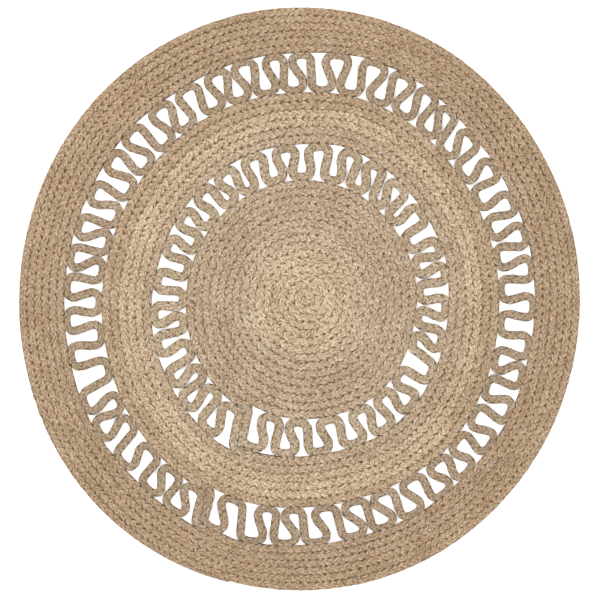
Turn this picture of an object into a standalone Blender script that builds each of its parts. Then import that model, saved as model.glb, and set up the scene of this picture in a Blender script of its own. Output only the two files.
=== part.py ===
"""Round area rug of hand-braided jute.

One flat braid is coiled into a centre, laid in loops as an openwork ring, coiled into a middle
band, looped again, and coiled into an outer band. Lacing threads in the seams underneath hold
the rows and the loops together. Metres, +Z up, the rug lying flat on the floor. Angles are in
degrees, counter-clockwise from +X as seen from above.
"""
import math
from collections import namedtuple

import bmesh
import bpy

# ---------------------------------------------------------------- the braid
TOUCH_GAP = 0.0003           # air left between pieces that touch
END_GAP = 0.0011             # and before a leg of the strap, whose end meets a slanting edge
BRAID_THICK = 0.0092         # height of the flat braid
UNDER_BEVEL = 0.0019         # each side of the braid leans in towards the floor by this much
LOOP_BRAID = 0.0165          # width of the braid along the legs of the openwork loops
HEAD_BRAID = 0.0125          # it is drawn narrower where it turns

# ---------------------------------------------------------------- coils
EYE = 0.0020                 # radius of the small hole that the first turn closes on
CENTRE_ROW = 0.0161          # row spacing of each coil
MIDDLE_ROW = 0.0171
OUTER_ROW = 0.0152
CENTRE_TURNS = 14.7
MIDDLE_TURNS = 6
OUTER_TURNS = 6
INNER_OPENWORK = 0.0761      # width of each openwork ring
OUTER_OPENWORK = 0.0819
CENTRE_SPLICES = (6.2,)      # turns at which the next length of braid is spliced on
MIDDLE_SPLICES = (1.6, 4.2)
OUTER_SPLICES = (2.75,)
RIM_END = 256.0              # the rim's last row ends here
TAIL_TAPER = 44.0            # it thins out over this many degrees
TAIL_WIDTH = 0.0045          # what is left of its width at the tail

# ---------------------------------------------------------------- hand-laid shape
OVAL = 0.0225                # the rug is this share longer along Y, and shorter along X
EYE_ASIDE = 0.015            # the eye of the first coil lies this far along +X from the middle

# Nothing coiled by hand comes out a true round. These say how far each edge stands out or in
# from one, in millimetres, every 15 degrees from +X, after the edge's mean radius in metres.
LAID = (
    (0.0000, (0,) * 24),                                                # the eye
    (0.2467, (6, 5, 3, 1, 1, -3, -6, -10, -12, -12, -12, -11,           # edge of the disc
              -10, -7, -5, -2, 0, 3, 6, 8, 13, 14, 11, 6)),
    (0.3235, (0, 3, -1, -1, 1, 2, -8, -11, -14, -18, -18, -18,          # middle band, inside
              -12, -6, -4, 2, 10, 14, 8, 6, 12, 12, 8, 2)),
    (0.4260, (4, 1, 0, 0, 4, 2, -6, -8, -9, -14, -14, -13,              # middle band, outside
              -9, -7, -1, 3, 8, 12, 8, 7, 12, 18, 13, 8)),
    (0.5070, (1, 1, -5, -5, 5, 6, -4, -6, -11, -7, -11, -10,            # outer band, inside
              -8, -5, 0, -4, 0, 12, 4, 3, 6, 5, 8, 1)),
    (0.5980, (4, 3, 1, 0, -1, -3, -4, -5, -5, -5, -5, -5,               # the rim
              -4, -3, -1, 0, 1, 3, 4, 5, 5, 5, 5, 5)),
)

# The braid leaves one coil at the first angle and lands on the next coil at the second. The
# first and the last leg of the loops lie side by side between them, as a strap.
INNER_STRAP = (242.8, 248.0)
OUTER_STRAP = (243.9, 246.4)

# The loops were laid by eye, so no two are alike. Each angle is the middle of one turn of the
# braid: the first lies against the coil outside, the next against the coil inside, and so on.
INNER_BULB = (0.0205, 0.0180)    # half width and depth of a loop's head in the inner ring
INNER_LOOPS = (
    252, 257, 264.5, 269.5, 277.5, 283.5, 291, 298, 303.5, 310.5, 316.5, 322.5, 330.5, 339.5,
    343.5, 351, 356.5, 363, 370, 375, 380.5, 387, 395, 401, 408, 411.5, 419.5, 423,
    430, 435, 442.5, 449, 455.5, 461.5, 468.5, 474.5, 481, 485.5, 492.5, 499, 505, 512,
    518, 525.5, 532.5, 540, 546.5, 551.5, 558.5, 564.5, 572, 576.5, 582.5, 587.5, 594.5, 598.5,
)
OUTER_BULB = (0.0205, 0.0180)    # half width and depth of a loop's head in the outer ring
OUTER_LOOPS = (
    249, 252, 258.5, 261.5, 266.5, 268.5, 274, 277, 283, 285, 290.5, 293, 298, 301.5,
    306.5, 310, 314, 318, 322.5, 326.5, 331.5, 335, 340.5, 343, 348, 353, 358, 362.5,
    367.5, 371.5, 376, 380, 384.5, 389, 394, 397.5, 403, 405.5, 411, 413, 417.5, 421,
    424.5, 428.5, 432, 436.5, 441, 444, 449.5, 451.5, 456, 459, 463.5, 466.5, 470.5, 474,
    478.5, 483, 486.5, 490.5, 495.5, 499, 503.5, 507.5, 512.5, 516, 521.5, 524, 529.5, 532,
    537, 541, 545.5, 550, 554.5, 560, 566, 569.5, 573.5, 576.5, 582.5, 586, 591.5, 594,
    599, 601.5,
)

# ---------------------------------------------------------------- lacing thread
THREAD_WIDTH = 0.0022
THREAD_DEPTH = 0.0012
THREAD_LIFT = 0.0003         # the thread rides this far above the floor

# ---------------------------------------------------------------- how finely curves are cut
COIL_STEPS = 48              # straight cuts per turn: every place of LAID is one of them
HEAD_SQUARE = 0.8            # below 1, a loop's head is squarer than an ellipse
NECK = 1.12                  # legs of neighbouring loops keep this many braid widths apart
HEAD_CUTS = 4                # straight cuts round the head of each loop
LEG_CUTS = 4                 # straight cuts along each leg of a strap

PALE = (0.604, 0.462, 0.319)
TAN = (0.503, 0.371, 0.243)
STRAW = (0.552, 0.412, 0.275)
BROWN = (0.434, 0.306, 0.198)
LACING = (0.392, 0.305, 0.205)

Coil = namedtuple("Coil", "start end radius row steps")
Ring = namedtuple("Ring", "strap loops bulb inside outside")


def around(offsets, angle):
    """What a list of offsets gives at an angle between its places."""
    step = 360.0 / len(offsets)
    low = math.floor(angle / step)
    share = angle / step - low
    return (offsets[low % len(offsets)] * (1.0 - share)
            + offsets[(low + 1) % len(offsets)] * share) / 1000.0


def out_of_true(radius, angle):
    """How far the rug stands out or in from a true round here."""
    k = 0
    while k < len(LAID) - 2 and radius > LAID[k + 1][0]:
        k += 1
    share = (radius - LAID[k][0]) / (LAID[k + 1][0] - LAID[k][0])
    return around(LAID[k][1], angle) * (1.0 - share) + around(LAID[k + 1][1], angle) * share


def place(radius, angle):
    """A point of the slightly oval rug from its mean radius and its angle."""
    turn = math.radians(angle)
    reach = radius * (1.0 - OVAL * math.cos(2.0 * turn)) + out_of_true(radius, angle)
    aside = EYE_ASIDE * max(0.0, 1.0 - radius / LAID[1][0])
    return aside + reach * math.cos(turn), reach * math.sin(turn)


def jute(name, colour):
    """Dry, unglazed plant fibre."""
    material = bpy.data.materials.new(name)
    material.use_nodes = True
    shader = material.node_tree.nodes["Principled BSDF"]
    shader.inputs["Base Color"].default_value = (*colour, 1.0)
    shader.inputs["Roughness"].default_value = 0.92
    shader.inputs["Metallic"].default_value = 0.0
    material.diffuse_color = (*colour, 1.0)
    return material


def prism(name, stations, colour):
    """One closed length of braid or thread: the same outline at every station, capped."""
    mesh = bpy.data.meshes.new(name)
    points = [point for outline in stations for point in outline]
    sides = len(stations[0])
    faces = [list(range(sides)), list(range(len(points) - sides, len(points)))]
    for start in range(0, len(points) - sides, sides):
        for k in range(sides):
            after = (k + 1) % sides
            faces.append([start + k, start + after, start + sides + after, start + sides + k])
    mesh.from_pydata(points, [], faces)
    work = bmesh.new()
    work.from_mesh(mesh)
    bmesh.ops.recalc_face_normals(work, faces=work.faces)
    work.to_mesh(mesh)
    work.free()
    mesh.materials.append(jute(name, colour))
    piece = bpy.data.objects.new(name, mesh)
    bpy.context.collection.objects.link(piece)
    return piece


# ---------------------------------------------------------------- coils

def edge_radius(coil, angle):
    """The inner edge of the coil's row at this unwrapped angle."""
    return coil.radius + coil.row * (angle - coil.start) / 360.0


def first_turn(coil, angle):
    """The same direction on the coil's first turn."""
    return coil.start + (angle - coil.start) % 360.0


def last_turn(coil, angle):
    """The same direction on the coil's last turn."""
    return coil.end - (coil.end - angle) % 360.0


def coil_point(coil, angle, offset, height):
    """A point beside the row's inner edge, on the straight cuts that all its rows share."""
    step = 360.0 / coil.steps
    low = math.floor(angle / step) * step
    share = (angle - low) / step
    near = place(edge_radius(coil, low) + offset, low)
    far = place(edge_radius(coil, low + step) + offset, low + step)
    return near[0] + (far[0] - near[0]) * share, near[1] + (far[1] - near[1]) * share, height


def cut_angles(coil, start, end):
    """The ends of a stretch of row, and every shared cut between them."""
    step = 360.0 / coil.steps
    cuts = [k * step for k in range(math.ceil(start / step), math.floor(end / step) + 1)]
    return [start] + [cut for cut in cuts if start + 0.01 < cut < end - 0.01] + [end]


def gap_angle(coil, angle):
    """Half the touching gap, as an angle along the row."""
    return math.degrees(TOUCH_GAP / 2.0 / max(edge_radius(coil, angle), coil.row))


def row_width(coil, angle, tail):
    """A row fills its share of the coil, but the rim's last stretch thins out to a tail."""
    if not tail or angle < coil.end - TAIL_TAPER:
        return coil.row
    share = max(0.0, (coil.end - angle) / TAIL_TAPER)
    return TAIL_WIDTH + (coil.row - TAIL_WIDTH) * math.sin(share * math.pi / 2.0)


def coil_braid(name, coil, start, end, colour, tail=False):
    """A length of braid coiled flat, from one unwrapped angle to another."""
    stations = []
    for angle in cut_angles(coil, start + gap_angle(coil, start), end - gap_angle(coil, end)):
        inner = TOUCH_GAP / 2.0
        outer = row_width(coil, angle, tail) - TOUCH_GAP / 2.0
        stations.append([
            coil_point(coil, angle, inner, BRAID_THICK),
            coil_point(coil, angle, outer, BRAID_THICK),
            coil_point(coil, angle, outer - UNDER_BEVEL, 0.0),
            coil_point(coil, angle, inner + UNDER_BEVEL, 0.0),
        ])
    return prism(name, stations, colour)


def lacing(name, coil, start, end):
    """The thread that runs in the seam under a coil, along the inner edge of its rows."""
    stations = []
    for angle in cut_angles(coil, start, end):
        stations.append([
            coil_point(coil, angle, -THREAD_WIDTH / 2.0, THREAD_LIFT),
            coil_point(coil, angle, 0.0, THREAD_LIFT + THREAD_DEPTH),
            coil_point(coil, angle, THREAD_WIDTH / 2.0, THREAD_LIFT),
        ])
    return prism(name, stations, LACING)


# ---------------------------------------------------------------- openwork loops

def strap_angle(ring, radius):
    """The line between the strap's two legs."""
    low = edge_radius(ring.inside, ring.inside.end)
    high = ring.outside.radius + ring.outside.row
    leave, land = ring.strap
    return leave + (land - leave) * (radius - low) / (high - low)


def strap_lean(ring, radius):
    """How far the strap leans from straight outwards, in radians."""
    rise = 0.001
    aside = math.radians(strap_angle(ring, radius + rise) - strap_angle(ring, radius)) * radius
    return math.atan2(aside, rise)


def leg_point(ring, radius, side):
    """The middle of one leg of the strap: side is 1 for the first leg and -1 for the last."""
    beside = (LOOP_BRAID / 2.0 + TOUCH_GAP) / math.cos(strap_lean(ring, radius))
    return radius, strap_angle(ring, radius) + side * math.degrees(beside / radius)


def head_radius(ring, index):
    """Where the head of a loop has its centre: at the band outside, or at the coil inside."""
    angle = ring.loops[index]
    corner = 1.0 / math.cos(math.pi / 2.0 / HEAD_CUTS)
    beside = HEAD_BRAID / 2.0 * corner + TOUCH_GAP + ring.bulb[1]
    if index % 2:
        return edge_radius(ring.inside, last_turn(ring.inside, angle)) + ring.inside.row + beside
    outside = edge_radius(ring.outside, first_turn(ring.outside, angle))
    return outside * math.cos(math.pi / ring.outside.steps) - beside


def head_width(ring, index):
    """Half the width of a loop's head, no wider than the loops beside it leave room for."""
    angles = ring.loops
    beside = [abs(angles[k] - angles[index]) for k in (index - 2, index + 2) if 0 <= k < len(angles)]
    spacing = math.radians(min(beside)) * head_radius(ring, index)
    return min(ring.bulb[0], (spacing - NECK * LOOP_BRAID) / 2.0)


def loop_route(ring):
    """The braid's middle line through the openwork ring, as radii, angles and widths."""
    clear = THREAD_WIDTH / 2.0 + END_GAP
    last = len(ring.loops) - 1
    low = edge_radius(ring.inside, ring.inside.end) + clear
    high = (ring.outside.radius + ring.outside.row) * math.cos(math.pi / ring.outside.steps) - clear
    first_head = head_radius(ring, 0)
    last_head = head_radius(ring, last)
    route = []
    for cut in range(LEG_CUTS):
        radius, angle = leg_point(ring, low + (first_head - low) * cut / LEG_CUTS, 1)
        route.append((radius, angle, LOOP_BRAID))
    for index, angle in enumerate(ring.loops):
        centre = head_radius(ring, index)
        outward = -1.0 if index % 2 else 1.0
        before = after = math.degrees(head_width(ring, index) / centre)
        if index == 0:
            before = angle - leg_point(ring, centre, 1)[1]
        if index == last:
            after = leg_point(ring, centre, -1)[1] + 360.0 - angle
        for cut in range(HEAD_CUTS + 1):
            around = math.pi * cut / HEAD_CUTS
            ahead = -before if 2 * cut < HEAD_CUTS else after
            aside = ahead * abs(math.cos(around)) ** HEAD_SQUARE
            deep = outward * ring.bulb[1] * abs(math.sin(around)) ** HEAD_SQUARE
            width = LOOP_BRAID + (HEAD_BRAID - LOOP_BRAID) * math.sin(around) ** 2
            route.append((centre + deep, angle + aside, width))
    for cut in range(1, LEG_CUTS + 1):
        radius, angle = leg_point(ring, last_head + (high - last_head) * cut / LEG_CUTS, -1)
        route.append((radius, angle + 360.0, LOOP_BRAID))
    return route


def loop_braid(name, ring, colour):
    """The braid laid in loops, with its two ends cut flush with the coils they meet."""
    route = loop_route(ring)
    middle = [place(radius, angle) for radius, angle, _ in route]
    stations = []
    for k, (x, y) in enumerate(middle):
        before = middle[max(k - 1, 0)]
        after = middle[min(k + 1, len(middle) - 1)]
        into = math.atan2(y - before[1], x - before[0]) if k else None
        out = math.atan2(after[1] - y, after[0] - x) if k < len(middle) - 1 else None
        if into is None or out is None:
            heading = out if into is None else into
            across = math.radians(route[k][1] % 360.0 + 90.0)
        else:
            bend = (out - into + math.pi) % math.tau - math.pi
            heading = into
            across = into + bend / 2.0 + math.pi / 2.0
        widen = 1.0 / math.sin(across - heading)
        outline = []
        for side, height in ((1, BRAID_THICK), (-1, BRAID_THICK), (-1, 0.0), (1, 0.0)):
            reach = (route[k][2] / 2.0 - (0.0 if height else UNDER_BEVEL)) * widen * side
            outline.append((x + reach * math.cos(across), y + reach * math.sin(across), height))
        stations.append(outline)
    return prism(name, stations, colour)


# ---------------------------------------------------------------- the rug

def spliced(coil, splices):
    """The stretches of a coil between its ends and its splices, as unwrapped angles."""
    marks = [coil.start] + [coil.start + 360.0 * turn for turn in splices] + [coil.end]
    return list(zip(marks[:-1], marks[1:]))


def build_rug():
    centre_end = INNER_STRAP[0] + 360.0
    centre = Coil(centre_end - 360.0 * CENTRE_TURNS, centre_end, EYE, CENTRE_ROW, COIL_STEPS)

    beside = edge_radius(centre, last_turn(centre, INNER_STRAP[1])) + CENTRE_ROW
    middle = Coil(INNER_STRAP[1], OUTER_STRAP[0] + 360.0 * MIDDLE_TURNS, beside + INNER_OPENWORK,
                  MIDDLE_ROW, COIL_STEPS)

    beside = edge_radius(middle, last_turn(middle, OUTER_STRAP[1])) + MIDDLE_ROW
    outer = Coil(OUTER_STRAP[1], RIM_END + 360.0 * OUTER_TURNS, beside + OUTER_OPENWORK,
                 OUTER_ROW, COIL_STEPS)

    heart, surround = spliced(centre, CENTRE_SPLICES)
    coil_braid("centre_coil_heart", centre, *heart, PALE)
    coil_braid("centre_coil_surround", centre, *surround, STRAW)

    inner_ring = Ring(INNER_STRAP, INNER_LOOPS, INNER_BULB, centre, middle)
    loop_braid("inner_loop_braid", inner_ring, TAN)

    first, second, third = spliced(middle, MIDDLE_SPLICES)
    coil_braid("middle_coil_inner", middle, *first, STRAW)
    coil_braid("middle_coil_pale", middle, *second, PALE)
    coil_braid("middle_coil_outer", middle, *third, TAN)

    outer_ring = Ring(OUTER_STRAP, OUTER_LOOPS, OUTER_BULB, middle, outer)
    loop_braid("outer_loop_braid", outer_ring, TAN)

    first, rim = spliced(outer, OUTER_SPLICES)
    coil_braid("outer_coil_inner", outer, *first, BROWN)
    coil_braid("outer_coil_rim", outer, *rim, BROWN, tail=True)

    # Each thread follows every seam of its coil, and the edges that the loops are sewn to.
    lacing("centre_lacing", centre, centre.start + 360.0, centre.end + 360.0)
    lacing("middle_lacing", middle, middle.start, middle.end + 360.0)
    lacing("outer_lacing", outer, outer.start, outer.end)


def centre_on_origin():
    """Stand the rug on z = 0 with its outline centred on the origin."""
    pieces = list(bpy.context.collection.objects)
    xs = [v.co.x for piece in pieces for v in piece.data.vertices]
    ys = [v.co.y for piece in pieces for v in piece.data.vertices]
    shift = ((max(xs) + min(xs)) / 2.0, (max(ys) + min(ys)) / 2.0)
    for piece in pieces:
        for v in piece.data.vertices:
            v.co.x -= shift[0]
            v.co.y -= shift[1]


for old in list(bpy.data.objects):
    bpy.data.objects.remove(old, do_unlink=True)
build_rug()
centre_on_origin()
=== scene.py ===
import math
from collections import namedtuple

import bpy
import numpy as np
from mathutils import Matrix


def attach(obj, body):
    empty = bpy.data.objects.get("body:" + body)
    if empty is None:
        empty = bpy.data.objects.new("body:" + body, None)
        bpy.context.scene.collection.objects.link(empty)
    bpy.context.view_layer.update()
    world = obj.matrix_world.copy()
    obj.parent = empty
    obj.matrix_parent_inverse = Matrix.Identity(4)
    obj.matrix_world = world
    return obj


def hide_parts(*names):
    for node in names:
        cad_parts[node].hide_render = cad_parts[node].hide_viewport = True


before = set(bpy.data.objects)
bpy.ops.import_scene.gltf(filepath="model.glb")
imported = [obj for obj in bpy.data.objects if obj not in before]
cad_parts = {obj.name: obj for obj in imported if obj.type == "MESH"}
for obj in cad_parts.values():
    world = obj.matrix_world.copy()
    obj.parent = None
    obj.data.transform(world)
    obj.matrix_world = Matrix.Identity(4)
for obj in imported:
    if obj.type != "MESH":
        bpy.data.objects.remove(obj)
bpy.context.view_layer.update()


# ---------------------------------------------------------------- centre coil
# The rug is one flat braid of three jute strands. It starts at the eye in the middle and is
# coiled outwards, row against row, until it makes a disc. A second length of braid, a little
# darker, is spliced on after six turns.
OVAL = 0.0225                      # the rug is this share longer along Y, and shorter along X
EYE_ASIDE = 0.015                  # the eye of the coil lies this far along +X from the middle
PLAIT = 0.0450                     # length over which each strand comes back to the same side
MID_HEIGHT = 0.0046                # height of the braid's middle above the floor
STRAND_SHARE = 0.63                # a strand's width as a share of the braid's width
STRAND_THICK = 0.0050
SWING_SHARE = 0.262                # how far a strand swings to each side, as a share of the width
LIFT = 0.0015                      # how far it climbs above and below the middle
LEAN = 0.24                        # how far it tips over as it rounds the edge, in radians
PINCH = 0.22                       # how much longer it lies along the edge than a plain wave
PULL = 0.8                         # how far the plait's pace drifts as the hand tires, in plaits
STRAY = 0.0026                     # how far a strand strays to the side of its course
BOB = 0.0014                       # and above or below it
SWELL = 0.50                       # how much its width varies
CUT = 0.0032                       # length of one step along a strand
SIDES = 8
CORE_SHARE = 1.06                  # the loose fibres inside the braid, as a share of its width
CORE_THICK = 0.0052
CORE_SINK = 0.0008                 # the core lies this far below the braid's middle
CORE_CUT = 0.0120
FLOOR_GAP = 0.0001                 # the braid is pressed flat this far above the floor

EYE = 0.0020                       # radius of the small hole that the first turn closes on
CENTRE_ROW = 0.0161                # from one row to the next
CENTRE_TURNS = 14.7
CENTRE_SPLICE = 6.2                # turns at which the second length is spliced on
TUCK_SPREAD = 1.25                 # the end tucked into the eye is spread this much wider
LINE_STEP = 0.004                  # length of one step along the middle of a braid
CENTRE_PALE = (0.687, 0.526, 0.358)
CENTRE_STRAW = (0.584, 0.443, 0.307)

# Nothing coiled by hand comes out a true round. These say how far each edge stands out or in
# from one, in millimetres, every 15 degrees from +X, after the edge's mean radius in metres.
LAID = (
    (0.0000, (0,) * 24),                                                # the eye
    (0.2467, (6, 5, 3, 1, 1, -3, -6, -10, -12, -12, -12, -11,           # edge of the disc
              -10, -7, -5, -2, 0, 3, 6, 8, 13, 14, 11, 6)),
    (0.3235, (0, 3, -1, -1, 1, 2, -8, -11, -14, -18, -18, -18,          # middle band, inside
              -12, -6, -4, 2, 10, 14, 8, 6, 12, 12, 8, 2)),
    (0.4260, (4, 1, 0, 0, 4, 2, -6, -8, -9, -14, -14, -13,              # middle band, outside
              -9, -7, -1, 3, 8, 12, 8, 7, 12, 18, 13, 8)),
    (0.5070, (1, 1, -5, -5, 5, 6, -4, -6, -11, -7, -11, -10,            # outer band, inside
              -8, -5, 0, -4, 0, 12, 4, 3, 6, 5, 8, 1)),
    (0.5980, (4, 3, 1, 0, -1, -3, -4, -5, -5, -5, -5, -5,               # the rim
              -4, -3, -1, 0, 1, 3, 4, 5, 5, 5, 5, 5)),
)

Coil = namedtuple("Coil", "start end radius row")


def around(offsets, angle):
    """A smooth curve through a list of offsets, read at an angle."""
    places = len(offsets)
    step = 360.0 / places
    low = math.floor(angle / step)
    t = angle / step - low
    a, b, c, d = (offsets[(low + k) % places] for k in (-1, 0, 1, 2))
    curve = b + 0.5 * t * (c - a + t * (2 * a - 5 * b + 4 * c - d + t * (3 * (b - c) + d - a)))
    return curve / 1000.0


def place(radius, angle):
    """A point of the rug as it was laid, from its mean radius and its angle in degrees."""
    turn = math.radians(angle)
    k = 0
    while k < len(LAID) - 2 and radius > LAID[k + 1][0]:
        k += 1
    share = (radius - LAID[k][0]) / (LAID[k + 1][0] - LAID[k][0])
    out = around(LAID[k][1], angle) * (1.0 - share) + around(LAID[k + 1][1], angle) * share
    reach = radius * (1.0 - OVAL * math.cos(2.0 * turn)) + out
    aside = EYE_ASIDE * max(0.0, 1.0 - radius / LAID[1][0])
    return aside + reach * math.cos(turn), reach * math.sin(turn)


def row_middle(coil, angle):
    """Mean radius of the middle of a coil's row at this unwrapped angle."""
    return coil.radius + coil.row * ((angle - coil.start) / 360.0 + 0.5)


def coil_line(coil, start, end):
    """The middle of a stretch of coiled braid, as points with the braid's width at each."""
    line = []
    angle = start
    while angle < end:
        line.append((*place(row_middle(coil, angle), angle), coil.row))
        angle += math.degrees(LINE_STEP / row_middle(coil, angle))
    line.append((*place(row_middle(coil, end), end), coil.row))
    return line


def length_of(line):
    """How much braid a line takes."""
    return sum(math.dist(a[:2], b[:2]) for a, b in zip(line[:-1], line[1:]))


def plug(socket, value):
    """Links a wire into a socket, or sets a plain value there."""
    if isinstance(value, Wire):
        socket.id_data.links.new(value.socket, socket)
    else:
        socket.default_value = value


class Wire:
    """What comes out of a node, for use in sums and as another node's input."""

    def __init__(self, socket):
        self.socket = socket

    def math(self, operation, first, second=None):
        node = self.socket.id_data.nodes.new("ShaderNodeMath")
        node.operation = operation
        plug(node.inputs[0], first)
        if second is not None:
            plug(node.inputs[1], second)
        return Wire(node.outputs[0])

    def __add__(self, other):
        return self.math("ADD", self, other)

    def __radd__(self, other):
        return self.math("ADD", other, self)

    def __sub__(self, other):
        return self.math("SUBTRACT", self, other)

    def __rsub__(self, other):
        return self.math("SUBTRACT", other, self)

    def __mul__(self, other):
        return self.math("MULTIPLY", self, other)

    def __rmul__(self, other):
        return self.math("MULTIPLY", other, self)

    def __truediv__(self, other):
        return self.math("DIVIDE", self, other)

    def __pow__(self, other):
        return self.math("POWER", self, other)

    def sine(self):
        return self.math("SINE", self)

    def size(self):
        return self.math("ABSOLUTE", self)

    def at_least(self, low):
        return self.math("MAXIMUM", self, low)


class Bench:
    """A node tree that parts are added to."""

    def __init__(self, tree):
        self.tree = tree

    def node(self, kind, settings=None, inputs=None, output=0):
        made = self.tree.nodes.new(kind)
        for name, value in (settings or {}).items():
            setattr(made, name, value)
        for name, value in (inputs or {}).items():
            plug(made.inputs[name], value)
        return Wire(made.outputs[output])

    def vector(self, operation, first, second=None, scale=None):
        """Vector maths."""
        inputs = {0: first}
        if second is not None:
            inputs[1] = second
        if scale is not None:
            inputs["Scale"] = scale
        return self.node("ShaderNodeVectorMath", {"operation": operation}, inputs)

    def xyz(self, x, y, z):
        return self.node("ShaderNodeCombineXYZ", None, {0: x, 1: y, 2: z})

    def noise(self, vector, scale, detail=1.0, seed=None, roughness=0.5):
        """Smooth noise from 0 to 1."""
        settings = {"noise_dimensions": "3D" if seed is None else "4D"}
        inputs = {"Vector": vector, "Scale": scale, "Detail": detail, "Roughness": roughness}
        if seed is not None:
            inputs["W"] = seed
        return self.node("ShaderNodeTexNoise", settings, inputs)

    def between(self, value, low, high, out_low=0.0, out_high=1.0):
        """A smooth step of a value from one range to another, held at its ends."""
        settings = {"interpolation_type": "SMOOTHSTEP"}
        inputs = {0: value, 1: low, 2: high, 3: out_low, 4: out_high}
        return self.node("ShaderNodeMapRange", settings, inputs)

    def blend(self, share, first, second, way="MIX"):
        """One colour over another."""
        settings = {"data_type": "RGBA", "blend_type": way, "clamp_factor": True}
        return self.node("ShaderNodeMix", settings, {0: share, 6: first, 7: second}, 2)

    def grey(self, value):
        """A number as a grey colour."""
        return self.xyz(value, value, value)


def new_tree(name, **kinds):
    """An empty Geometry Nodes tree with a named input for each size."""
    tree = bpy.data.node_groups.new(name, "GeometryNodeTree")
    tree.interface.new_socket("Line", in_out="INPUT", socket_type="NodeSocketGeometry")
    for label, kind in kinds.items():
        tree.interface.new_socket(label, in_out="INPUT", socket_type="NodeSocket" + kind)
    tree.interface.new_socket("Braid", in_out="OUTPUT", socket_type="NodeSocketGeometry")
    return tree


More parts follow.
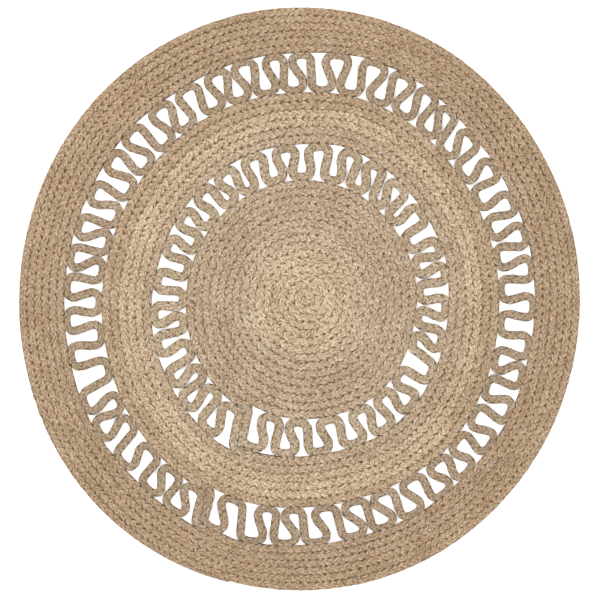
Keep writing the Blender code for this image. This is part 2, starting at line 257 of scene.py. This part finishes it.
def plait_tree():
    """Three flat strands plaited along a line, each going over outwards and under inwards."""
    tree = new_tree("Plait", Laid="Float", Plait="Float", Row="Float", Swing="Float",
                    Lift="Float", StrandWide="Float", StrandThick="Float", Cut="Float",
                    Sides="Int", CoreWide="Float", CoreThick="Float", CoreCut="Float",
                    Seed="Float", Fibre="Material")
    bench = Bench(tree)
    given = tree.nodes.new("NodeGroupInput").outputs

    def size(name):
        return Wire(given[name])

    def keep(geometry, name, value, kind="FLOAT"):
        settings = {"data_type": kind, "domain": "POINT"}
        inputs = {"Geometry": geometry, "Name": name, "Value": value}
        return bench.node("GeometryNodeStoreNamedAttribute", settings, inputs)

    def kept(name):
        return bench.node("GeometryNodeInputNamedAttribute", {"data_type": "FLOAT"},
                          {"Name": name})

    def outline(wide, thick):
        """An oval outline that remembers where round the strand each point is."""
        ring = bench.node("GeometryNodeCurvePrimitiveCircle", None,
                          {"Resolution": size("Sides"), "Radius": 1.0})
        ring = keep(ring, "skin", bench.node("GeometryNodeInputPosition"), "FLOAT_VECTOR")
        ring = keep(ring, "side", bench.node("GeometryNodeInputIndex"))
        flat = bench.vector("MULTIPLY", bench.node("GeometryNodeInputPosition"),
                            bench.xyz(wide * 0.5, thick * 0.5, 1.0))
        return bench.node("GeometryNodeSetPosition", None, {"Geometry": ring, "Position": flat})

    def cut_up(length):
        """The line in even steps, each with its place along the braid."""
        cut = bench.node("GeometryNodeMeshToCurve", None, {"Mesh": size("Line")})
        cut = bench.node("GeometryNodeResampleCurve", {"mode": "LENGTH"},
                         {"Curve": cut, "Length": length})
        cut = bench.node("GeometryNodeSetCurveNormal", {"mode": "Z_UP"}, {"Curve": cut})
        reached = bench.node("GeometryNodeSplineParameter", output="Length") + size("Laid")
        cut = keep(cut, "along", reached)
        return keep(cut, "ring", bench.node("GeometryNodeSplineParameter", output="Index"))

    profile = outline(size("StrandWide"), size("StrandThick"))
    line = cut_up(size("Cut"))

    spot = bench.node("GeometryNodeInputPosition")
    ahead = bench.node("GeometryNodeInputTangent")
    across = bench.vector("NORMALIZE", bench.vector("CROSS_PRODUCT", (0, 0, 1), ahead))
    share = kept("width") / size("Row")
    # The hand pulls tighter and looser every few centimetres.
    drift = bench.noise(spot, 16.0, 1.0, size("Seed")) - 0.5
    join = tree.nodes.new("GeometryNodeJoinGeometry")
    for strand in range(3):
        seed = size("Seed") + 3.1 * (strand + 1)
        stray = bench.noise(spot, 55.0, 1.0, seed) - 0.5
        rise = bench.noise(spot, 70.0, 1.0, seed + 1.7) - 0.5
        fat = bench.noise(spot, 60.0, 1.0, seed + 4.3) - 0.5
        turn = (kept("along") / size("Plait") + drift * PULL + strand / 3.0) * math.tau
        # Pulled tight, a strand lies along the edge for longer than it takes to cross over.
        side = turn.sine()
        side = side * ((1.0 + PINCH) - PINCH * side * side)
        aside = (side * size("Swing") + stray * STRAY) * share
        above = (turn * 2.0).sine() * size("Lift") + rise * BOB
        move = bench.vector("SCALE", across, scale=aside)
        move = bench.vector("ADD", move, bench.xyz(0.0, 0.0, above + MID_HEIGHT))
        moved = keep(line, "strand", 1.0 * strand)
        moved = keep(moved, "swing", side)
        moved = keep(moved, "lean", turn.sine() * LEAN)
        moved = keep(moved, "fat", share * (1.0 + fat * SWELL))
        moved = bench.node("GeometryNodeSetPosition", None,
                           {"Geometry": moved, "Offset": move})
        moved = bench.node("GeometryNodeSetCurveTilt", None,
                           {"Curve": moved, "Tilt": kept("lean")})
        made = bench.node("GeometryNodeCurveToMesh", None,
                          {"Curve": moved, "Profile Curve": profile, "Scale": kept("fat"),
                           "Fill Caps": True})
        plug(join.inputs[0], made)
    core = keep(cut_up(size("CoreCut")), "strand", 3.0)
    core = bench.node("GeometryNodeSetPosition", None,
                      {"Geometry": core, "Offset": (0.0, 0.0, MID_HEIGHT - CORE_SINK)})
    core = bench.node("GeometryNodeCurveToMesh", None,
                      {"Curve": core, "Profile Curve": outline(size("CoreWide"),
                                                               size("CoreThick")),
                       "Scale": share, "Fill Caps": True})
    plug(join.inputs[0], core)
    # The underside is pressed flat on the floor.
    lowest = bench.node("ShaderNodeSeparateXYZ", None, {0: spot}, 2)
    push = (FLOOR_GAP - lowest).at_least(0.0)
    braid = bench.node("GeometryNodeSetPosition", None,
                       {"Geometry": Wire(join.outputs[0]), "Offset": bench.xyz(0.0, 0.0, push)})
    braid = bench.node("GeometryNodeSetShadeSmooth", None, {"Geometry": braid})
    braid = bench.node("GeometryNodeRealizeInstances", None, {"Geometry": braid})
    braid = bench.node("GeometryNodeSetMaterial", None,
                       {"Geometry": braid, "Material": size("Fibre")})
    plug(tree.nodes.new("NodeGroupOutput").inputs[0], braid)
    return tree


def made_by(tree, name, line, **sizes):
    """The plain mesh that a tree makes along a line."""
    path = bpy.data.meshes.new(name)
    path.from_pydata([(x, y, 0.0) for x, y, _ in line],
                     [(k, k + 1) for k in range(len(line) - 1)], [])
    width = path.attributes.new("width", "FLOAT", "POINT")
    width.data.foreach_set("value", [w for _, _, w in line])
    start = bpy.data.objects.new(name, path)
    bpy.context.collection.objects.link(start)
    modifier = start.modifiers.new(tree.name, "NODES")
    modifier.node_group = tree
    for item in tree.interface.items_tree:
        if item.in_out == "INPUT" and item.name in sizes:
            modifier[item.identifier] = sizes[item.name]
    shown = bpy.context.evaluated_depsgraph_get()
    mesh = bpy.data.meshes.new_from_object(start.evaluated_get(shown),
                                           preserve_all_data_layers=True, depsgraph=shown)
    bpy.data.objects.remove(start)
    mesh.name = name
    piece = bpy.data.objects.new(name, mesh)
    bpy.context.collection.objects.link(piece)
    return piece


def strip_map(mesh, sides, girth):
    """Lays the skins of the strands side by side in the unit square, as strips of about the
    right shape for strands of this girth."""
    verts = len(mesh.vertices)
    values = {}
    for name in ("ring", "side", "strand"):
        read = np.zeros(verts, np.float32)
        mesh.attributes[name].data.foreach_get("value", read)
        values[name] = np.rint(read).astype(int)
    corner = np.zeros(len(mesh.loops), int)
    mesh.loops.foreach_get("vertex_index", corner)
    first = np.zeros(len(mesh.polygons), int)
    mesh.polygons.foreach_get("loop_start", first)
    count = np.zeros(len(mesh.polygons), int)
    mesh.polygons.foreach_get("loop_total", count)
    face = np.repeat(np.arange(len(first)), count)
    ring, side, strand = (values[name][corner] for name in ("ring", "side", "strand"))
    low_ring = np.minimum.reduceat(ring, first)[face]
    low_side = np.minimum.reduceat(side, first)[face]
    high_side = np.maximum.reduceat(side, first)[face]
    side = np.where((high_side - low_side > 1) & (side == 0), sides, side)
    rings = values["ring"].max() + 1
    lengths = values["strand"].max() + 1
    strips = max(1, round(math.sqrt(lengths * rings * CUT / girth)))
    each = math.ceil(lengths * rings / strips)
    step = strand * rings + low_ring
    margin = 0.03
    u = (step % each + (ring - low_ring)) / each
    v = (step // each + margin + (1.0 - 2.0 * margin) * side / sides) / strips
    cap = (count != 4)[face]
    u[cap] = 0.0
    v[cap] = 0.0
    layer = mesh.uv_layers.new(name="OFBake")
    layer.data.foreach_set("uv", np.stack([u, v], 1).astype(np.float32).ravel())


def jute(name, colour, seed, ruddy=0.5, low_shade=0.10, fade=(0.0, 0.1, 1.0)):
    """Dry jute: bundles of pale bast fibre, with browner and greener stretches of strand, and dark
    flecks that are partly bark and partly painted shade between the fibre bundles. Shade is
    painted in the crevices where the strands cross, and low down on the sides of the strands. A
    braid may
    start out paler: fade says where along it that starts and ends, and by how much."""
    material = bpy.data.materials.new(name)
    material.use_nodes = True
    bench = Bench(material.node_tree)
    shader = material.node_tree.nodes["Principled BSDF"]

    def kept(label, output="Fac"):
        return bench.node("ShaderNodeAttribute", {"attribute_name": label}, output=output)

    along = kept("along")
    strand = kept("strand")
    skin = bench.node("ShaderNodeSeparateXYZ", None, {0: kept("skin", "Vector")})
    skin_y = Wire(skin.socket.node.outputs[1])
    spot = bench.node("ShaderNodeTexCoord", output="Object")

    def streaks(per_metre, per_width, detail, turn, roughness=0.5):
        """Noise drawn out along the strand."""
        across = skin * per_width + strand * 31.0
        at = bench.xyz((along + skin * 0.0015) * per_metre, across, skin_y * per_width)
        return bench.noise(at, 1.0, detail, seed + turn, roughness)

    fibres = streaks(60.0, 6.5, 3.0, 0.0, 0.65)
    bundles = bench.between(streaks(210.0, 1.9, 1.0, 3.0), 0.36, 0.64)
    stretch = streaks(26.0, 0.35, 2.0, 9.0)
    tint = streaks(11.0, 0.30, 2.0, 19.0)
    bark_and_shade = streaks(300.0, 2.1, 1.0, 29.0)
    height = bench.node("ShaderNodeSeparateXYZ", None, {0: spot}, 2)
    patch = bench.noise(spot, 11.0, 2.0, seed + 39)
    uneven = bench.between(streaks(120.0, 1.1, 1.0, 49.0), 0.38, 0.60)
    # Painted shade in the crevices inside the braid, where strands cross, and not where rows press
    # together.
    crossing = bench.between(kept("swing").size(), 0.97, 0.72)
    crossing = crossing * bench.between(strand, 2.4, 2.6, 1.0, 0.0)
    crevice_shade = bench.between(skin.size(), 0.58, 0.88) * crossing * (0.12 + 0.88 * uneven)

    base = (*colour, 1.0)
    red = (colour[0] * 1.01, colour[1] * 0.91, colour[2] * 0.83, 1.0)
    green = (colour[0] * 0.94, colour[1] * 0.99, colour[2] * 0.94, 1.0)
    shown = bench.blend(bench.between(tint, 0.52, 0.72, 0.0, ruddy), base, red)
    shown = bench.blend(bench.between(tint, 0.44, 0.30, 0.0, 0.6), shown, green)
    light = (0.80 + 0.40 * stretch) * (0.73 + 0.46 * bundles) * (0.82 + 0.36 * fibres)
    # Uneven tone at random, and painted shade in the crevices where the strands cross.
    light = light * (0.80 + 0.40 * patch) * (1.0 - 0.94 * crevice_shade)
    # Painted shade: darker low down, on the sides of the strands and of the loops.
    light = light * (1.0 - bench.between(height, 0.0066, 0.0034, 0.0, low_shade))
    light = light * bench.between(along, *fade, 1.0)
    # Darker jute, and the painted shade on it, is a deeper brown, not a greyer one.
    deep = bench.xyz(light, light ** 1.22, light ** 1.58)
    shown = bench.blend(1.0, shown, deep, "MULTIPLY")
    # Dark flecks: partly bark, partly painted shade between the fibre bundles.
    shown = bench.blend(bench.between(bark_and_shade, 0.57, 0.62, 0.0, 0.90), shown, BARK_AND_SHADE)
    plug(shader.inputs["Base Color"], shown)
    plug(shader.inputs["Roughness"], 0.98 - 0.22 * fibres)
    bump = bench.node("ShaderNodeBump", None,
                      {"Strength": 0.7, "Distance": 0.0008, "Height": fibres})
    plug(shader.inputs["Normal"], bump)
    shader.inputs["Sheen Weight"].default_value = 0.12
    shader.inputs["Sheen Roughness"].default_value = 0.55
    shader.inputs["Specular IOR Level"].default_value = 0.25
    material.diffuse_color = base
    return material


# Colour of the dark flecks: bark, and painted shade between the fibre bundles.
BARK_AND_SHADE = (0.135, 0.080, 0.040, 1.0)
PLAITING = plait_tree()


def braid(name, line, laid, row, fibre, seed, slot):
    """A length of braid along a line, in place of the plain solid of the same name."""
    wide = row * STRAND_SHARE
    piece = made_by(PLAITING, name + "_strands", line, Laid=laid, Plait=PLAIT, Row=row,
                    Swing=row * SWING_SHARE, Lift=LIFT, StrandWide=wide,
                    StrandThick=STRAND_THICK, Cut=CUT, Sides=SIDES, CoreWide=row * CORE_SHARE,
                    CoreThick=CORE_THICK, CoreCut=CORE_CUT, Seed=seed, Fibre=fibre)
    strip_map(piece.data, SIDES, 2.5 * wide)
    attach(piece, "root")
    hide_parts(name)


INNER_STRAP = (242.8, 248.0)       # where the braid leaves this coil, and lands on the next
centre_end = INNER_STRAP[0] + 360.0
centre = Coil(centre_end - 360.0 * CENTRE_TURNS, centre_end, EYE, CENTRE_ROW)
STRAW_FADE = 3.5                   # the second length starts paler, over this much braid
STRAW_LIFT = 1.13                  # and by this much
CORNER = 0.013                     # a coil stops this far short of the corner into the loops

splice = centre.start + 360.0 * CENTRE_SPLICE
corner_angle = math.degrees(CORNER / row_middle(centre, centre.end))
# The first turn closes on itself: the end of the braid is tucked into the eye.
tuck = [(*place(reach, centre.start + turn), centre.row * TUCK_SPREAD)
        for reach, turn in ((0.0080, -160), (0.0045, -115), (0.0045, -60), (0.0075, -20))]
heart_line = tuck + coil_line(centre, centre.start, splice)
surround_line = coil_line(centre, splice, centre.end - corner_angle)
pale = jute("pale jute", CENTRE_PALE, 1.0, 0.25)
laid = 0.0
braid("centre_coil_heart", heart_line, laid, centre.row, pale, 2.0, "jute_pale")
laid += length_of(heart_line)
straw = jute("straw jute", CENTRE_STRAW, 51.0, 0.4,
             fade=(laid, laid + STRAW_FADE, STRAW_LIFT))
braid("centre_coil_surround", surround_line, laid, centre.row, straw, 5.0, "jute_straw")
laid += length_of(surround_line)


# ---------------------------------------------------------------- inner ring of loops
# From the edge of the disc the same braid turns outwards and is laid in loops by hand, from
# side to side of an open ring. Each head is sewn to the coil that it touches. The first and the
# last leg lie side by side as a strap.
STRAP_BRAID = 0.0180               # the braid lies full along the strap
HEAD_SQUARE = 0.50                 # below 1, a loop's head is squarer than an ellipse
PRESS = 0.0008                     # a head presses this far into the edge that it is sewn to
HEAD_CUTS = 12                     # steps round the head of each loop
EASE = 0.0055                      # bends are rounded over about this length
EASE_STEP = 0.0015
LOOP_SHADE = 0.60                  # painted shade: how much darker the sides of a loop are, low down
INNER_OPENWORK = 0.0761            # width of the open ring
INNER_TAN = (0.545, 0.428, 0.294)
INNER_LOOPS = (
    252, 257, 264.5, 269.5, 277.5, 283.5, 291, 298, 303.5, 310.5, 316.5, 322.5, 330.5, 339.5,
    343.5, 351, 356.5, 363, 370, 375, 380.5, 387, 395, 401, 408, 411.5, 419.5, 423,
    430, 435, 442.5, 449, 455.5, 461.5, 468.5, 474.5, 481, 485.5, 492.5, 499, 505, 512,
    518, 525.5, 532.5, 540, 546.5, 551.5, 558.5, 564.5, 572, 576.5, 582.5, 587.5, 594.5, 598.5,
)

Make = namedtuple("Make", "leg head bulb_wide bulb_deep neck")
INNER_MAKE = Make(0.0184, 0.0160, 0.0205, 0.0175, 1.08)

Ring = namedtuple("Ring", "strap loops inside outside make")


def inner_edge(coil, angle):
    """Mean radius of the inner edge of a coil's row at this unwrapped angle."""
    return row_middle(coil, angle) - coil.row / 2.0


def first_turn(coil, angle):
    """The same direction on the coil's first turn."""
    return coil.start + (angle - coil.start) % 360.0


def last_turn(coil, angle):
    """The same direction on the coil's last turn."""
    return coil.end - (coil.end - angle) % 360.0


def leg_angle(ring, radius, side):
    """The middle of a leg of the strap: side is 1 for the first leg and -1 for the last."""
    low = inner_edge(ring.inside, ring.inside.end)
    high = ring.outside.radius + ring.outside.row
    share = (radius - low) / (high - low)
    middle = ring.strap[0] + (ring.strap[1] - ring.strap[0]) * share
    return middle + side * math.degrees(STRAP_BRAID / 2.0 / radius)


def head_radius(ring, index):
    """Where the head of a loop has its centre: at the band outside, or at the coil inside."""
    angle = ring.loops[index]
    beside = ring.make.head / 2.0 - PRESS + ring.make.bulb_deep
    if index % 2:
        coil = ring.inside
        return inner_edge(coil, last_turn(coil, angle)) + coil.row + beside
    return inner_edge(ring.outside, first_turn(ring.outside, angle)) - beside


def head_width(ring, index):
    """Half the width of a loop's head, no wider than the loops beside it leave room for."""
    angles = ring.loops
    near = [abs(angles[k] - angles[index]) for k in (index - 2, index + 2) if 0 <= k < len(angles)]
    spacing = math.radians(min(near)) * head_radius(ring, index)
    return min(ring.make.bulb_wide, (spacing - ring.make.neck * ring.make.leg) / 2.0)


def eased(line, reach, step):
    """The same line with its bends rounded, its ends kept."""
    points = np.array(line)
    run = np.concatenate([[0.0], np.cumsum(np.hypot(*np.diff(points[:, :2], axis=0).T))])
    even = np.linspace(0.0, run[-1], int(run[-1] / step) + 2)
    fine = np.stack([np.interp(even, run, points[:, k]) for k in range(3)], 1)
    pad = int(3 * reach / step)
    weights = np.exp(-0.5 * (np.arange(-pad, pad + 1) * step / reach) ** 2)
    before = 2 * fine[0] - fine[pad:0:-1]
    after = 2 * fine[-1] - fine[-2:-pad - 2:-1]
    long = np.concatenate([before, fine, after])
    smooth = [np.convolve(long[:, k], weights / weights.sum(), "valid") for k in range(3)]
    smooth[2] = np.clip(smooth[2], fine[:, 2].min(), fine[:, 2].max())
    return [tuple(point) for point in np.stack(smooth, 1)]


def loop_line(ring):
    """The middle of the braid through an open ring, from the coil inside to the coil outside."""
    inside, outside = ring.inside, ring.outside
    last = len(ring.loops) - 1
    low = row_middle(inside, inside.end)
    high = row_middle(outside, outside.start)
    turn = math.degrees(CORNER / low)
    route = [(row_middle(inside, inside.end - turn), inside.end - turn, inside.row)]
    for share in (0.0, 0.3, 0.6):
        radius = low + (head_radius(ring, 0) - low) * share
        route.append((radius, leg_angle(ring, radius, 1), STRAP_BRAID))
    for index, angle in enumerate(ring.loops):
        centre_radius = head_radius(ring, index)
        outward = -1.0 if index % 2 else 1.0
        before = after = math.degrees(head_width(ring, index) / centre_radius)
        if index == 0:
            before = angle - leg_angle(ring, centre_radius, 1)
        if index == last:
            after = leg_angle(ring, centre_radius, -1) + 360.0 - angle
        for cut in range(HEAD_CUTS + 1):
            bend = math.pi * cut / HEAD_CUTS
            ahead = -before if 2 * cut < HEAD_CUTS else after
            aside = ahead * abs(math.cos(bend)) ** HEAD_SQUARE
            deep = outward * ring.make.bulb_deep * abs(math.sin(bend)) ** HEAD_SQUARE
            width = ring.make.leg + (ring.make.head - ring.make.leg) * math.sin(bend) ** 2
            route.append((centre_radius + deep, angle + aside, width))
    for share in (0.4, 0.7, 1.0):
        radius = head_radius(ring, last) + (high - head_radius(ring, last)) * share
        route.append((radius, leg_angle(ring, radius, -1) + 360.0, STRAP_BRAID))
    turn = math.degrees(CORNER / high)
    route.append((row_middle(outside, outside.start + turn), outside.start + turn + 360.0,
                  outside.row))
    line = [(*place(radius, angle), width) for radius, angle, width in route]
    return eased(line, EASE, EASE_STEP)


MIDDLE_ROW = 0.0171
MIDDLE_TURNS = 6
OUTER_STRAP = (243.9, 246.4)
beside = inner_edge(centre, last_turn(centre, INNER_STRAP[1])) + centre.row
middle = Coil(INNER_STRAP[1], OUTER_STRAP[0] + 360.0 * MIDDLE_TURNS, beside + INNER_OPENWORK,
              MIDDLE_ROW)
inner_ring = Ring(INNER_STRAP, INNER_LOOPS, centre, middle, INNER_MAKE)
tan = jute("tan jute", INNER_TAN, 101.0, 1.0, LOOP_SHADE)
inner_line = loop_line(inner_ring)
braid("inner_loop_braid", inner_line, laid, INNER_MAKE.leg, tan, 8.0, "jute_tan")
laid += length_of(inner_line)


# ---------------------------------------------------------------- middle coil
# Where the loops end, the braid is coiled again into a flat band of six rows, sewn to the heads
# of the loops. Two more lengths are spliced on: the one in the middle of the band is palest.
MIDDLE_SPLICES = (1.6, 4.2)
MIDDLE_STRAW = (0.588, 0.442, 0.306)
MIDDLE_PALE = (0.674, 0.507, 0.347)
MIDDLE_TAN = (0.563, 0.414, 0.270)

marks = [middle.start + 360.0 * turn for turn in (0, *MIDDLE_SPLICES)] + [middle.end]
marks[0] += math.degrees(CORNER / row_middle(middle, middle.start))
marks[-1] -= math.degrees(CORNER / row_middle(middle, middle.end))
lengths = (
    ("middle_coil_inner", jute("middle straw jute", MIDDLE_STRAW, 151.0, 0.4), "jute_straw"),
    ("middle_coil_pale", jute("middle pale jute", MIDDLE_PALE, 201.0, 0.3), "jute_pale"),
    ("middle_coil_outer", jute("middle tan jute", MIDDLE_TAN, 251.0, 0.5), "jute_tan"),
)
for k, (name, fibre, slot) in enumerate(lengths):
    stretch_line = coil_line(middle, marks[k], marks[k + 1])
    braid(name, stretch_line, laid, middle.row, fibre, 11.0 + 3 * k, slot)
    laid += length_of(stretch_line)


# ---------------------------------------------------------------- outer ring of loops
# The same again, round the middle band: one braid laid in loops that are slimmer and closer
# together, of a warmer brown than the inner ones.
OUTER_TAN = (0.470, 0.356, 0.243)
OUTER_MAKE = Make(0.0166, 0.0132, 0.0230, 0.0180, 1.0)
OUTER_LOOPS = (
    249, 252, 258.5, 261.5, 266.5, 268.5, 274, 277, 283, 285, 290.5, 293, 298, 301.5,
    306.5, 310, 314, 318, 322.5, 326.5, 331.5, 335, 340.5, 343, 348, 353, 358, 362.5,
    367.5, 371.5, 376, 380, 384.5, 389, 394, 397.5, 403, 405.5, 411, 413, 417.5, 421,
    424.5, 428.5, 432, 436.5, 441, 444, 449.5, 451.5, 456, 459, 463.5, 466.5, 470.5, 474,
    478.5, 483, 486.5, 490.5, 495.5, 499, 503.5, 507.5, 512.5, 516, 521.5, 524, 529.5, 532,
    537, 541, 545.5, 550, 554.5, 560, 566, 569.5, 573.5, 576.5, 582.5, 586, 591.5, 594,
    599, 601.5,
)

OUTER_OPENWORK = 0.0819
OUTER_ROW = 0.0152
OUTER_TURNS = 6
RIM_END = 256.0                    # the last row ends here
beside = inner_edge(middle, last_turn(middle, OUTER_STRAP[1])) + middle.row
outer = Coil(OUTER_STRAP[1], RIM_END + 360.0 * OUTER_TURNS, beside + OUTER_OPENWORK, OUTER_ROW)
outer_ring = Ring(OUTER_STRAP, OUTER_LOOPS, middle, outer, OUTER_MAKE)
warm = jute("warm tan jute", OUTER_TAN, 301.0, 1.0, LOOP_SHADE)
outer_line = loop_line(outer_ring)
braid("outer_loop_braid", outer_line, laid, OUTER_MAKE.leg, warm, 21.0, "jute_tan")
laid += length_of(outer_line)


# ---------------------------------------------------------------- outer coil and rim
# Six rows of the brownest braid close the rug. The last one thins out to a tail, which is
# pressed against the row inside and sewn down.
OUTER_SPLICE = 2.75
TAIL_TAPER = 44.0                  # it thins out over this many degrees
TAIL_WIDTH = 0.0045
OUTER_BROWN = (0.526, 0.378, 0.248)
RIM_BROWN = (0.534, 0.383, 0.248)


def tapered(coil, line):
    """The same line with its last stretch thinned out against the row inside."""
    taper = math.radians(TAIL_TAPER) * row_middle(coil, coil.end)
    left = length_of(line)
    thinned = []
    for k, (x, y, width) in enumerate(line):
        left -= math.dist(line[max(k - 1, 0)][:2], (x, y))
        share = min(1.0, max(0.0, left / taper))
        slim = TAIL_WIDTH + (width - TAIL_WIDTH) * math.sin(share * math.pi / 2.0)
        aside = 1.0 - (width - slim) / 2.0 / math.hypot(x, y)
        thinned.append((x * aside, y * aside, slim))
    return thinned


splice = outer.start + 360.0 * OUTER_SPLICE
corner_angle = math.degrees(CORNER / row_middle(outer, outer.start))
outer_inner_line = coil_line(outer, outer.start + corner_angle, splice)
rim_line = tapered(outer, coil_line(outer, splice, outer.end))
brown = jute("brown jute", OUTER_BROWN, 351.0, 0.9)
rim_brown = jute("rim brown jute", RIM_BROWN, 401.0, 0.9)
braid("outer_coil_inner", outer_inner_line, laid, outer.row, brown, 24.0, "jute_brown")
laid += length_of(outer_inner_line)
braid("outer_coil_rim", rim_line, laid, outer.row, rim_brown, 27.0, "jute_brown")


# ---------------------------------------------------------------- lacing threads
# A thin jute twine runs in the seams underneath and draws each row against the next. It can
# only just be seen between the strands from above.
LACING = (0.170, 0.112, 0.066)
twine = bpy.data.materials.new("lacing twine")
twine.use_nodes = True
bench = Bench(twine.node_tree)
lay = bench.node("ShaderNodeTexCoord", output="Object")
ply = bench.noise(lay, 900.0, 2.0)
twine_shader = twine.node_tree.nodes["Principled BSDF"].inputs
plug(twine_shader["Base Color"],
     bench.blend(1.0, (*LACING, 1.0), bench.grey(0.6 + 0.8 * ply), "MULTIPLY"))
plug(twine_shader["Roughness"], 1.0 - 0.2 * ply)
for name in ("centre_lacing", "middle_lacing", "outer_lacing"):
    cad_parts[name].data.materials.clear()
    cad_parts[name].data.materials.append(twine)


# ---------------------------------------------------------------- floor, light and camera
# A plain white floor under soft, even light from above, and a level camera that looks
# straight down on the rug.
FLOOR = 6.0                        # half its width
FLOOR_DROP = 0.0002                # it lies this far below the rug
VIEW_WIDE = 1.25448                # what the camera takes in, edge to edge
VIEW_AT = (0.00136, -0.00251)

floor_mesh = bpy.data.meshes.new("floor")
floor_mesh.from_pydata([(x * FLOOR, y * FLOOR, -FLOOR_DROP) for x, y in
                        ((-1, -1), (1, -1), (1, 1), (-1, 1))], [], [(0, 1, 2, 3)])
floor_paint = bpy.data.materials.new("floor white")
floor_paint.use_nodes = True
paint = floor_paint.node_tree.nodes["Principled BSDF"].inputs
paint["Base Color"].default_value = (0.92, 0.92, 0.92, 1.0)
paint["Roughness"].default_value = 0.9
paint["Emission Color"].default_value = (1.0, 1.0, 1.0, 1.0)
paint["Emission Strength"].default_value = 0.45
floor_mesh.materials.append(floor_paint)
floor = bpy.data.objects.new("floor", floor_mesh)
bpy.context.collection.objects.link(floor)

world = bpy.data.worlds.new("studio")
bpy.context.scene.world = world
world.use_nodes = True
sky = world.node_tree.nodes["Background"].inputs
sky["Color"].default_value = (1.0, 1.0, 1.0, 1.0)
sky["Strength"].default_value = 0.80

for name, place_at, power, wide in (("key", (-1.6, 1.4, 2.6), 30.0, 1.6),
                                    ("fill", (1.8, -1.2, 3.0), 20.0, 2.4)):
    lamp = bpy.data.lights.new(name, "AREA")
    lamp.shape = "DISK"
    lamp.size = wide
    lamp.energy = power
    holder = bpy.data.objects.new(name, lamp)
    holder.location = place_at
    aim = -holder.location.normalized()
    holder.rotation_mode = "QUATERNION"
    holder.rotation_quaternion = aim.to_track_quat("-Z", "Y")
    bpy.context.collection.objects.link(holder)

camera = bpy.data.cameras.new("camera")
camera.type = "ORTHO"
camera.ortho_scale = VIEW_WIDE
camera.clip_end = 20.0
camera_holder = bpy.data.objects.new("camera", camera)
camera_holder.location = (*VIEW_AT, 4.0)
bpy.context.collection.objects.link(camera_holder)
bpy.context.scene.camera = camera_holder
bpy.context.scene.view_settings.view_transform = "Standard"
